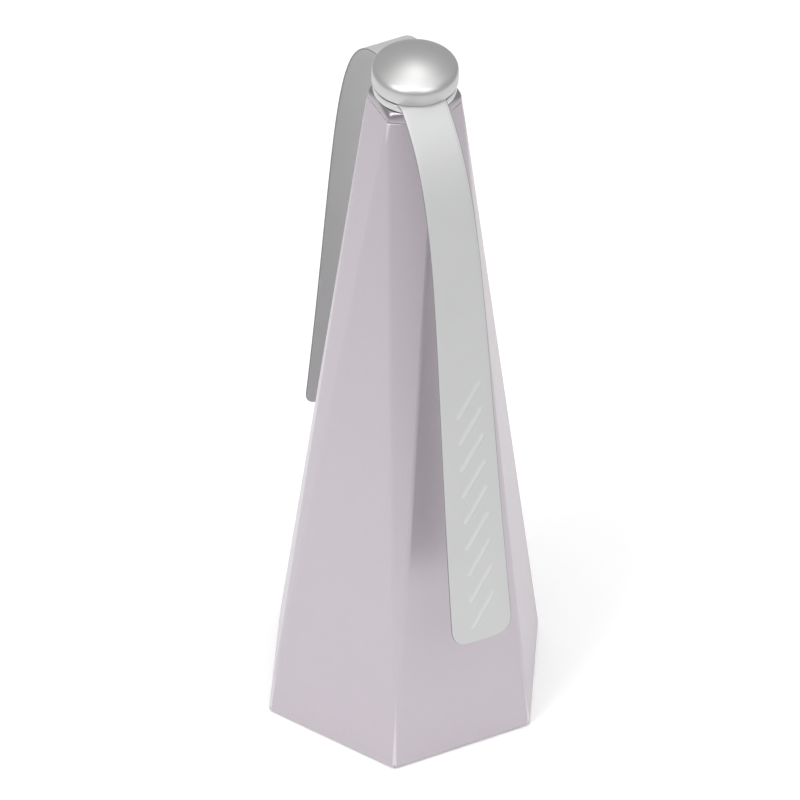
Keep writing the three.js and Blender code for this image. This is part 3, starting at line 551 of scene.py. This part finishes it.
def make_tower_inside():
    """The shelf that carries the gearbox and the three posts for the base screws."""
    share = (SHELF_Z - SHELL_LOW.z) / (TOP_Z - SHELL_LOW.z)
    reach = (BASE_RADIUS + (TOP_RADIUS - BASE_RADIUS) * share) * math.cos(PITCH / 2) - WALL / 2
    rim = 0.3 * MM
    mouth = 0.2 * MM
    shelf = lathe(rounded([
        (SHELF_BORE, SHELF_Z, rim),
        (reach, SHELF_Z, 0),
        (reach, SHELF_Z + SHELF, 0),
        (SHELF_BORE, SHELF_Z + SHELF, rim),
    ]))
    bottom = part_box("base_plate")[0].z + PLATE + GAP
    post = lathe(rounded([
        (POST_BORE, bottom, mouth),
        (POST_RADIUS, bottom, rim),
        (POST_RADIUS, POST_TOP, rim),
        (0, POST_TOP, 0),
        (0, POST_TOP - POST_CAP, 0),
        (POST_BORE, POST_TOP - POST_CAP, 0),
    ]), FINE)
    posts = []
    for i in range(BASE_SCREWS):
        low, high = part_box(f"base_screw_{i + 1}")
        middle = (low + high) / 2
        posts.append(moved(post, Matrix.Translation((middle.x, middle.y, 0))))
    inside = piece("tower_inside", joined(shelf, *posts), FINISHES["pearl_body"])
    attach(inside, "tower")


# ---- collar, hub and cap ---------------------------------------------------------------------------------


def hexagon_reach(circumradius, angle):
    """From the axis to the collar hexagon's side in that direction."""
    from_side = (angle - FIRST_CORNER - PITCH / 2) % PITCH - PITCH / 2
    return circumradius * math.cos(PITCH / 2) / math.cos(from_side)


def collar_ring(z, hexagon, circle, roundness):
    """A section of the collar: a hexagon that gives way to a circle as roundness goes from 0 to 1."""
    count = 2 * ROUND
    points = []
    for i in range(count):
        angle = FIRST_CORNER + PITCH / 2 + 2 * math.pi * i / count
        reach = hexagon_reach(hexagon, angle)
        soft = min(reach, hexagon - COLLAR_CORNER)
        points.append(polar(soft + (circle - soft) * roundness, angle, TOP_Z + z))
    return points


def make_collar():
    """A hexagonal ring whose top flows into a circle, with a spigot that sits in the shell."""
    steps = 12
    top = COLLAR_HIGH.z - TOP_Z
    hexagon = TOP_RADIUS
    rings = [
        collar_ring(GAP, hexagon - COLLAR_EDGE, 0, 0),
        collar_ring(GAP + COLLAR_EDGE, hexagon, 0, 0),
    ]
    for i in range(steps + 1):
        quarter = i / steps * math.pi / 2
        rise = COLLAR_SIDE + (top - COLLAR_SIDE) * math.sin(quarter)
        circle = COLLAR_TOP_RADIUS - COLLAR_LIP
        rings.append(collar_ring(rise, hexagon - COLLAR_DRAFT, circle, 1 - math.cos(quarter)))
    bore = BUSH_RADIUS + RUNNING_GAP
    bottom = COLLAR_LOW.z - TOP_Z
    rings += [
        collar_ring(top, bore, bore, 1),
        collar_ring(bottom, bore, bore, 1),
        collar_ring(bottom, SPIGOT_RADIUS, 0, 0),
        collar_ring(GAP, SPIGOT_RADIUS, 0, 0),
    ]
    collar = piece("collar_ring", loft(rings, closed=True), SHADED_COLLAR_PAINT, 50)
    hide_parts("top_collar")
    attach(collar, "tower")


def slab(low, high):
    """A box from its lowest to its highest corner."""
    x0, y0, z0 = low
    x1, y1, z1 = high
    corners = [(x0, y0), (x1, y0), (x1, y1), (x0, y1)]
    return loft([[Vector((x, y, z)) for x, y in corners] for z in (z0, z1)])


def make_hub():
    """The round dish under the cap, notched under each blade's bend."""
    bore = SHAFT_RADIUS + RUNNING_GAP
    ceiling = HUB_LOW.z + HUB_RECESS
    disc = lathe(rounded([
        (bore, ceiling, 0),
        (HUB_RECESS_RADIUS, ceiling, 0),
        (HUB_RECESS_RADIUS, HUB_LOW.z, 0.15 * MM),
        (HUB_RADIUS, HUB_LOW.z, 0.45 * MM),
        (HUB_RADIUS, HUB_HIGH.z, 0.35 * MM),
        (bore, HUB_HIGH.z, 0),
    ]))
    hub = piece("hub_dish", disc, BRIGHT_PLATING)
    half = BLADE_ROOT_WIDTH / 2 + NOTCH_CLEARANCE
    start = BLADE_CREASE - NOTCH_START
    for turn in BLADE_TURN.values():
        low = (start, BLADE_OFFSET - half, HUB_HIGH.z - NOTCH_DEPTH)
        high = (2 * start, BLADE_OFFSET + half, HUB_HIGH.z + NOTCH_DEPTH)
        notch = slab(low, high)
        cut(hub, moved(notch, Matrix.Rotation(BLADE_HEADING + turn, 4, "Z")))
    hub.data.set_sharp_from_angle(angle=math.radians(35))
    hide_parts("hub_base")
    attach(hub, "rotor")


def cap_outside():
    """The cap's outer line from axis to rim: a spherical dome, a tight shoulder and a straight side."""
    rise = CAP_HIGH.z - CAP_LOW.z - CAP_SHOULDER
    sphere = (CAP_SHOULDER_RADIUS ** 2 + rise ** 2) / (2 * rise)
    widest = math.asin(CAP_SHOULDER_RADIUS / sphere)
    steps = 14
    line = []
    for i in range(steps + 1):
        angle = widest * i / steps
        line.append(Vector((sphere * math.sin(angle), CAP_HIGH.z - sphere * (1 - math.cos(angle)))))
    start = line[-1]
    end = Vector((CAP_RADIUS, CAP_LOW.z + CAP_WALL))
    middle = Vector((CAP_RADIUS, start.y - (CAP_RADIUS - start.x) * math.tan(widest)))
    for i in range(1, steps + 1):
        t = i / steps
        line.append(start * (1 - t) ** 2 + middle * 2 * t * (1 - t) + end * t ** 2)
    return line


def make_cap():
    """The domed cap: a thin skin with a boss that the shaft's end sits in."""
    bore = SHAFT_RADIUS + RUNNING_GAP
    ceiling = CAP_LOW.z + CAP_SHOULDER - CAP_SKIN
    inner = CAP_RADIUS - CAP_SKIN
    rim_middle = 0.07 * MM
    inside = [
        (CAP_RADIUS, CAP_LOW.z + CAP_RIM),
        (CAP_RADIUS - rim_middle, CAP_LOW.z + rim_middle),
        (CAP_RADIUS - CAP_RIM, CAP_LOW.z),
        (inner, CAP_LOW.z),
        (inner, CAP_LOW.z + CAP_WALL),
        (inner - 2 * CAP_SKIN, ceiling),
        (CAP_BOSS_RADIUS, ceiling),
        (CAP_BOSS_RADIUS, CAP_LOW.z),
        (bore, CAP_LOW.z),
        (bore, ceiling),
        (0, ceiling),
    ]
    profile = [tuple(point) for point in cap_outside()] + inside
    cap = piece("hub_dome", lathe(profile, 2 * ROUND), FINISHES["silver_hub"])
    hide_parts("hub_cap")
    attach(cap, "rotor")


# ---- blades ----------------------------------------------------------------------------------------------


CURVE_POINTS = 600
BLADE_COLUMNS = 14
ROOT_ROWS = 8
BEND_ROWS = 24
BODY_ROWS = 70
TIP_ROWS = 14


class Hang:
    """One hanging blade's middle line, in the upright plane of its heading, measured along its length."""

    def __init__(self, name):
        self.turn = Matrix.Rotation(BLADE_HEADING + BLADE_TURN[name], 4, "Z")
        points = [Vector((BLADE_CREASE, BLADE_Z))]
        points += [Vector((out * MM, TOP_Z + up * MM)) for out, up in HANG[name]]
        self.tip = points[-1].y
        t = np.linspace(0, 1, CURVE_POINTS)[:, None]
        a, b, c, d = (np.array(p) for p in points)
        line = a * (1 - t) ** 3 + 3 * b * t * (1 - t) ** 2 + 3 * c * t ** 2 * (1 - t) + d * t ** 3
        line = np.vstack([[BLADE_ROOT_START, BLADE_Z], line])
        steps = np.linalg.norm(np.diff(line, axis=0), axis=1)
        self.line = line
        self.length = np.concatenate([[0], np.cumsum(steps)]) + BLADE_ROOT_START - BLADE_CREASE

    def at(self, length):
        """(out, height) at that length along the line from the crease."""
        return Vector([np.interp(length, self.length, self.line[:, k]) for k in (0, 1)])

    def along(self, length):
        """The line's direction there."""
        step = 0.4 * MM
        return (self.at(length + step) - self.at(length - step)).normalized()

    def reaching(self, height):
        """The length at which the line comes down to that height."""
        return float(np.interp(-height, -self.line[1:, 1], self.length[1:]))

    def point(self, length, side, lift=0.0):
        """A point beside the middle line, lifted from it towards the outer face, in the row frame."""
        out, height = self.at(length)
        forward = self.along(length)
        place = Vector((out - forward.y * lift, BLADE_OFFSET + side, height + forward.x * lift))
        return self.turn @ place

    def half_width(self, length):
        """Half the blade's width there: a straight taper with rounded corners at the tip."""
        height = self.at(length).y
        tip, root = BLADE_TIP_WIDTH / 2, BLADE_ROOT_WIDTH / 2
        corner_top = self.tip + BLADE_TIP_CORNER
        if height < corner_top:
            share = max(0.0, (height - self.tip) / BLADE_TIP_CORNER)
            return tip - BLADE_TIP_CORNER * (1 - math.sqrt(share)) ** 2
        taper_top = BLADE_Z + BLADE_TAPER_TOP
        return tip + (root - tip) * (height - corner_top) / (taper_top - corner_top)

    def section(self, length, half, thickness):
        """The blade's outline across its length: two flat faces with fully round edges."""
        lift = thickness / 2
        radius = BLADE_THICKNESS / 2
        flat = half - radius
        across = [flat * (2 * i / BLADE_COLUMNS - 1) for i in range(BLADE_COLUMNS + 1)]
        edge = [(flat + radius * math.cos(a), lift * math.sin(a)) for a in (math.pi / 4, 0, -math.pi / 4)]
        outline = [(side, lift) for side in across] + edge
        outline += [(-side, -lift) for side in across] + [(-side, -up) for side, up in edge]
        return [self.point(length, side, up) for side, up in outline]

    def rows(self):
        """Where the blade's sections are, closest together at its bend and at the tip's corners."""
        root = np.linspace(BLADE_ROOT_START - BLADE_CREASE, 0, ROOT_ROWS)
        bend = np.linspace(0, BLADE_BEND, BEND_ROWS)[1:]
        corner = self.reaching(self.tip + BLADE_TIP_CORNER)
        body = np.linspace(BLADE_BEND, corner, BODY_ROWS)[1:]
        heights = [self.tip + BLADE_TIP_CORNER * (1 - t) ** 2 for t in np.linspace(0, 1, TIP_ROWS)[1:-1]]
        tip = [self.reaching(h) for h in heights]
        return [*root, *bend, *body, *tip]


def blade_skin(hang):
    """The film from the flat root to the tip, which ends in a rounded edge."""
    rows = hang.rows()
    rings = [hang.section(length, hang.half_width(length), BLADE_THICKNESS) for length in rows]
    last = rows[-1]
    half = hang.half_width(last)
    radius = BLADE_THICKNESS / 2
    for angle in (30, 60, 90):
        turn = math.radians(angle)
        narrower = half - radius * (1 - math.cos(turn))
        thinner = BLADE_THICKNESS * math.cos(turn)
        rings.append(hang.section(last + radius * math.sin(turn), narrower, thinner))
    return loft(rings)


def show_painted_edge_shade(blade, lowest):
    """Gives the narrow faces along the blade's sides, down to that height, a dark grey: a painted line of
    shade along the edges.
    """
    blade.data.materials.append(BLADE_EDGE_SHADE)
    for face in blade.data.polygons:
        across = min(edge_length(blade.data, edge) for edge in face.edge_keys)
        if across < BLADE_THICKNESS / 2 and face.center.z > lowest:
            face.material_index = 1


def edge_length(mesh, edge):
    """Distance between the two vertices of an edge."""
    first, second = (mesh.vertices[i].co for i in edge)
    return (first - second).length


def stripe_skin(hang, middle):
    """One slanted stripe with round ends, that follows the blade's outer face."""
    stations = 28
    surface = BLADE_THICKNESS / 2
    narrowest = 1.5 * STRIPE_CHAMFER
    half_width = STRIPE_WIDTH / 2
    straight = STRIPE_LENGTH / 2 - half_width
    rings = []
    for i in range(stations + 1):
        along = -math.cos(math.pi * i / stations) * STRIPE_LENGTH / 2
        beyond = max(0.0, abs(along) - straight)
        half = math.sqrt(max(half_width ** 2 - beyond ** 2, narrowest ** 2))
        section = [
            (-half, -STRIPE_BURY),
            (STRIPE_CHAMFER - half, STRIPE_PROUD),
            (0, STRIPE_PROUD),
            (half - STRIPE_CHAMFER, STRIPE_PROUD),
            (half, -STRIPE_BURY),
        ]
        points = []
        for across, lift in section:
            side = along * math.cos(STRIPE_SLANT) + across * math.sin(STRIPE_SLANT)
            down = across * math.cos(STRIPE_SLANT) - along * math.sin(STRIPE_SLANT)
            points.append(hang.point(middle + down, STRIPE_SIDE + side, surface + lift))
        rings.append(points)
    return loft(rings)


def make_blade(name):
    """One blade, which bends smoothly where it leaves the hub, and its row of stripes."""
    hang = Hang(name)
    blade = piece(f"blade_film_{name}", blade_skin(hang), FINISHES["blade_film"], 80)
    show_painted_edge_shade(blade, hang.tip + 2 * BLADE_THICKNESS)
    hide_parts(f"blade_root_{name}", f"blade_{name}")
    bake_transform(blade)
    middles = [STRIPE_FIRST + STRIPE_PITCH * i for i in range(STRIPES)]
    skins = [stripe_skin(hang, middle) for middle in middles]
    stripes = piece(f"blade_stripes_{name}", joined(*skins), STRIPE_FOIL, 60)
    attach(stripes, f"{name}_blade")


# ---- underside -------------------------------------------------------------------------------------------


def make_feet():
    """Rubber feet with a soft edge and a shallow hollow, so that they stand on a ring."""
    low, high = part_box("rubber_foot_1")
    radius = high.x
    hollow = radius / 2
    slope = 0.5 * MM
    roof = low.z + 0.25 * MM
    profile = rounded([
        (0, roof, 0),
        (hollow, roof, 0.2 * MM),
        (hollow + slope, low.z, 0.1 * MM),
        (radius, low.z, 0.4 * MM),
        (radius, high.z, 0.1 * MM),
        (0, high.z, 0),
    ])
    for i in range(SIDES):
        low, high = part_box(f"rubber_foot_{i + 1}")
        middle = (low + high) / 2
        skin = moved(lathe(profile, FINE), Matrix.Translation((middle.x, middle.y, 0)))
        foot = piece(f"foot_{i + 1}", skin, FINISHES["foot_rubber"])
        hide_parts(f"rubber_foot_{i + 1}")
        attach(foot, "tower")


NUB_RADIUS = 2.7 * MM
NUB_LENGTH = 1.5 * MM
BAND_LENGTH = 14 * MM


def make_battery(number):
    """An AA cell: a plain sleeve with a coloured band, a rolled shoulder, and bare steel ends."""
    low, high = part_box(f"battery_{number}")
    length = high.x - low.x
    radius = (high.z - low.z) / 2
    body = length - NUB_LENGTH
    shoulder = 0.5 * MM
    band = body - BAND_LENGTH
    bare = 0.35 * MM
    profile = rounded([
        (0, 0, 0),
        (radius - shoulder, 0, 0.2 * MM),
        (radius - bare, bare, 0),
        (radius, 2 * bare, 0.15 * MM),
        (radius, band, 0),
        (radius, body - bare, shoulder),
        (NUB_RADIUS + MM, body, 0.1 * MM),
        (NUB_RADIUS, body, 0),
        (NUB_RADIUS, length, 0.4 * MM),
        (0, length, 0),
    ])
    direction = 1 if number == 1 else -1
    start = low.x if number == 1 else high.x
    turn = Matrix.Rotation(direction * math.pi / 2, 4, "Y")
    middle = (low + high) / 2
    skin = moved(lathe(profile, FINE), Matrix.Translation((start, middle.y, middle.z)) @ turn)
    battery = piece(f"cell_{number}", skin, FINISHES["battery_sleeve"])
    battery.data.materials.append(BATTERY_BAND)
    battery.data.materials.append(FINISHES["zinc_steel"])
    for face in battery.data.polygons:
        along = abs(face.center.x - start)
        out = math.hypot(face.center.y - middle.y, face.center.z - middle.z)
        if out < radius - 2 * shoulder or along < bare:
            face.material_index = 2
        elif along > band:
            face.material_index = 1
    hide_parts(f"battery_{number}")
    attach(battery, "tower")


EDGE_ROUNDINGS = {
    "base_plate": 0.25 * MM,
    "battery_door": 0.2 * MM,
    "switch_knob": 0.15 * MM,
}
for screw in range(BASE_SCREWS):
    EDGE_ROUNDINGS[f"base_screw_{screw + 1}"] = 0.12 * MM


def finish_cad_nodes():
    """Gives every CAD node its finish, and softens the edges of those that can be seen from outside."""
    for name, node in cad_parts.items():
        slot = node.data.materials[0].name
        node.data.materials[0] = FINISHES[slot]
        if name in EDGE_ROUNDINGS:
            weld = node.modifiers.new("weld", "WELD")
            weld.merge_threshold = ONE_POINT
            merge = node.modifiers.new("whole_flats", "DECIMATE")
            merge.decimate_type = "DISSOLVE"
            merge.angle_limit = math.radians(0.5)
            rounded_edges(node, EDGE_ROUNDINGS[name])


# ---- studio ----------------------------------------------------------------------------------------------

AIM = Vector((0, 0, (SHELL_LOW.z + TOP_Z) / 2))

CAMERA_AZIMUTH = 3.16
CAMERA_ELEVATION = 41.06
CAMERA_ROLL = 0.99
CAMERA_DISTANCE = 3.0
CAMERA_LEFT = 3.10 * MM             # the camera is beside the line through AIM, so that AIM is off centre
CAMERA_DOWN = 3.47 * MM
LENS = 400.3
SENSOR = 36

BOX_DISTANCE = 1.1
# Each soft box's azimuth and elevation in degrees, size in metres, and power in watts.
SOFT_BOXES = {
    "left_box": (-38, 44, (0.5, 0.7), 3.9),
    "right_box": (38, 44, (0.5, 0.7), 2.1),
    "front_top_box": (-8, 68, (0.8, 0.4), 1.3),
    "back_top_box": (180, 74, (0.3, 0.3), 0.45),
}
# The sky's strength goes from SKY_LOW up to SKY_HIGH as a direction's height goes from SKY_FROM to SKY_TO.
SKY_FROM = 0.7
SKY_TO = 1.0
SKY_LOW = 0.5
SKY_HIGH = 1.5

FLOOR_REACH = 6
FLOOR_Z = -0.1 * MM
FLOOR_GLOW = 0.13
# A painted fall-off of light darkens the floor's paper between two distances from this place, outside the
# camera's view.
FLOOR_CENTRE = (0, 0.14, 0)
FLOOR_NEAR = 0.28
FLOOR_FAR = 0.8


def view_direction(azimuth, elevation):
    """From the object towards something at that azimuth, with 0 at -Y and +X positive, and that elevation."""
    a, e = math.radians(azimuth), math.radians(elevation)
    return Vector((math.sin(a) * math.cos(e), -math.cos(a) * math.cos(e), math.sin(e)))


def facing(back):
    """The rotation of a camera or light that looks against that direction."""
    return (-back).to_track_quat("-Z", "Y").to_matrix()


def make_camera():
    """A long lens from above, framed so that the tower's middle is a little right of and above the centre."""
    back = view_direction(CAMERA_AZIMUTH, CAMERA_ELEVATION)
    level = facing(back)
    right, up = level.col[0], level.col[1]
    data = bpy.data.cameras.new("camera")
    data.lens = LENS
    data.sensor_width = SENSOR
    data.clip_start = 0.1
    data.clip_end = 50
    camera = bpy.data.objects.new("camera", data)
    bpy.context.scene.collection.objects.link(camera)
    place = AIM - right * CAMERA_LEFT - up * CAMERA_DOWN + back * CAMERA_DISTANCE
    roll = Matrix.Rotation(math.radians(CAMERA_ROLL), 4, "Z")
    camera.matrix_world = Matrix.Translation(place) @ level.to_4x4() @ roll
    bpy.context.scene.camera = camera


def make_soft_box(name, azimuth, elevation, size, power):
    """A rectangular soft box that faces the tower's middle."""
    data = bpy.data.lights.new(name, "AREA")
    data.shape = "RECTANGLE"
    data.size, data.size_y = size
    data.energy = power
    light = bpy.data.objects.new(name, data)
    bpy.context.scene.collection.objects.link(light)
    back = view_direction(azimuth, elevation)
    light.matrix_world = Matrix.Translation(AIM + back * BOX_DISTANCE) @ facing(back).to_4x4()


def make_sky():
    """A plain white sky that is brightest straight above."""
    world = bpy.data.worlds.new("studio")
    world.use_nodes = True
    tree = world.node_tree
    background = tree.nodes["Background"]
    background.inputs["Color"].default_value = (1.0, 1.0, 1.0, 1.0)
    height = tree.nodes.new("ShaderNodeSeparateXYZ")
    tree.links.new(tree.nodes.new("ShaderNodeTexCoord").outputs["Generated"], height.inputs[0])
    rise = tree.nodes.new("ShaderNodeMapRange")
    rise.interpolation_type = "SMOOTHSTEP"
    rise.inputs["From Min"].default_value = SKY_FROM
    rise.inputs["From Max"].default_value = SKY_TO
    rise.inputs["To Min"].default_value = SKY_LOW
    rise.inputs["To Max"].default_value = SKY_HIGH
    tree.links.new(height.outputs["Z"], rise.inputs["Value"])
    tree.links.new(rise.outputs["Result"], background.inputs["Strength"])
    bpy.context.scene.world = world


def floor_paper():
    """White paper with a faint fibre, and a painted fall-off of light that darkens it far away, so that the
    tower's faces have something to reflect.
    """
    white = (1, 1, 1, 1)
    finish = Finish("floor_paper", Specular_IOR_Level=0.2, Emission_Color=white, Emission_Strength=FLOOR_GLOW)
    fibre = finish.noise(8 * MM, 5)
    # Painted fall-off of light: the paper's colour goes to a darker grey between FLOOR_NEAR and FLOOR_FAR from
    # FLOOR_CENTRE.
    away = finish.node("VectorMath", {"operation": "DISTANCE"})
    finish.tree.links.new(finish.place, away.inputs[0])
    away.inputs[1].default_value = FLOOR_CENTRE
    far = finish.node("MapRange", {"interpolation_type": "SMOOTHSTEP"}, Value=away.outputs["Value"])
    far.inputs["From Min"].default_value = FLOOR_NEAR
    far.inputs["From Max"].default_value = FLOOR_FAR
    paper = finish.blend(fibre, grey(0.93), grey(0.95))
    finish.set("Base_Color", finish.blend(far.outputs["Result"], paper, grey(0.42)))
    finish.set("Roughness", finish.between(fibre, 0.85, 0.95))
    finish.set("Normal", finish.bump(finish.noise(1.5 * MM, 4), 0.01 * MM))
    return finish.material


def make_floor():
    """A large square sheet under the feet."""
    x, z = FLOOR_REACH, FLOOR_Z
    sheet = [(-x, -x, z), (x, -x, z), (x, x, z), (-x, x, z)], [(0, 1, 2, 3)]
    piece("floor", sheet, floor_paper())


def make_studio():
    """Sky, soft boxes and floor, shown with plain colours."""
    make_sky()
    for name, box in SOFT_BOXES.items():
        make_soft_box(name, *box)
    make_floor()
    settings = bpy.context.scene.view_settings
    settings.view_transform = "Standard"
    settings.look = "None"


def corners(bounds):
    return [list(corner) for corner in bounds]


make_camera()
make_studio()
finish_cad_nodes()
make_tower()
make_tower_inside()
make_collar()
make_hub()
make_cap()
make_blade("front")
make_blade("rear")
make_feet()
make_battery(1)
make_battery(2)
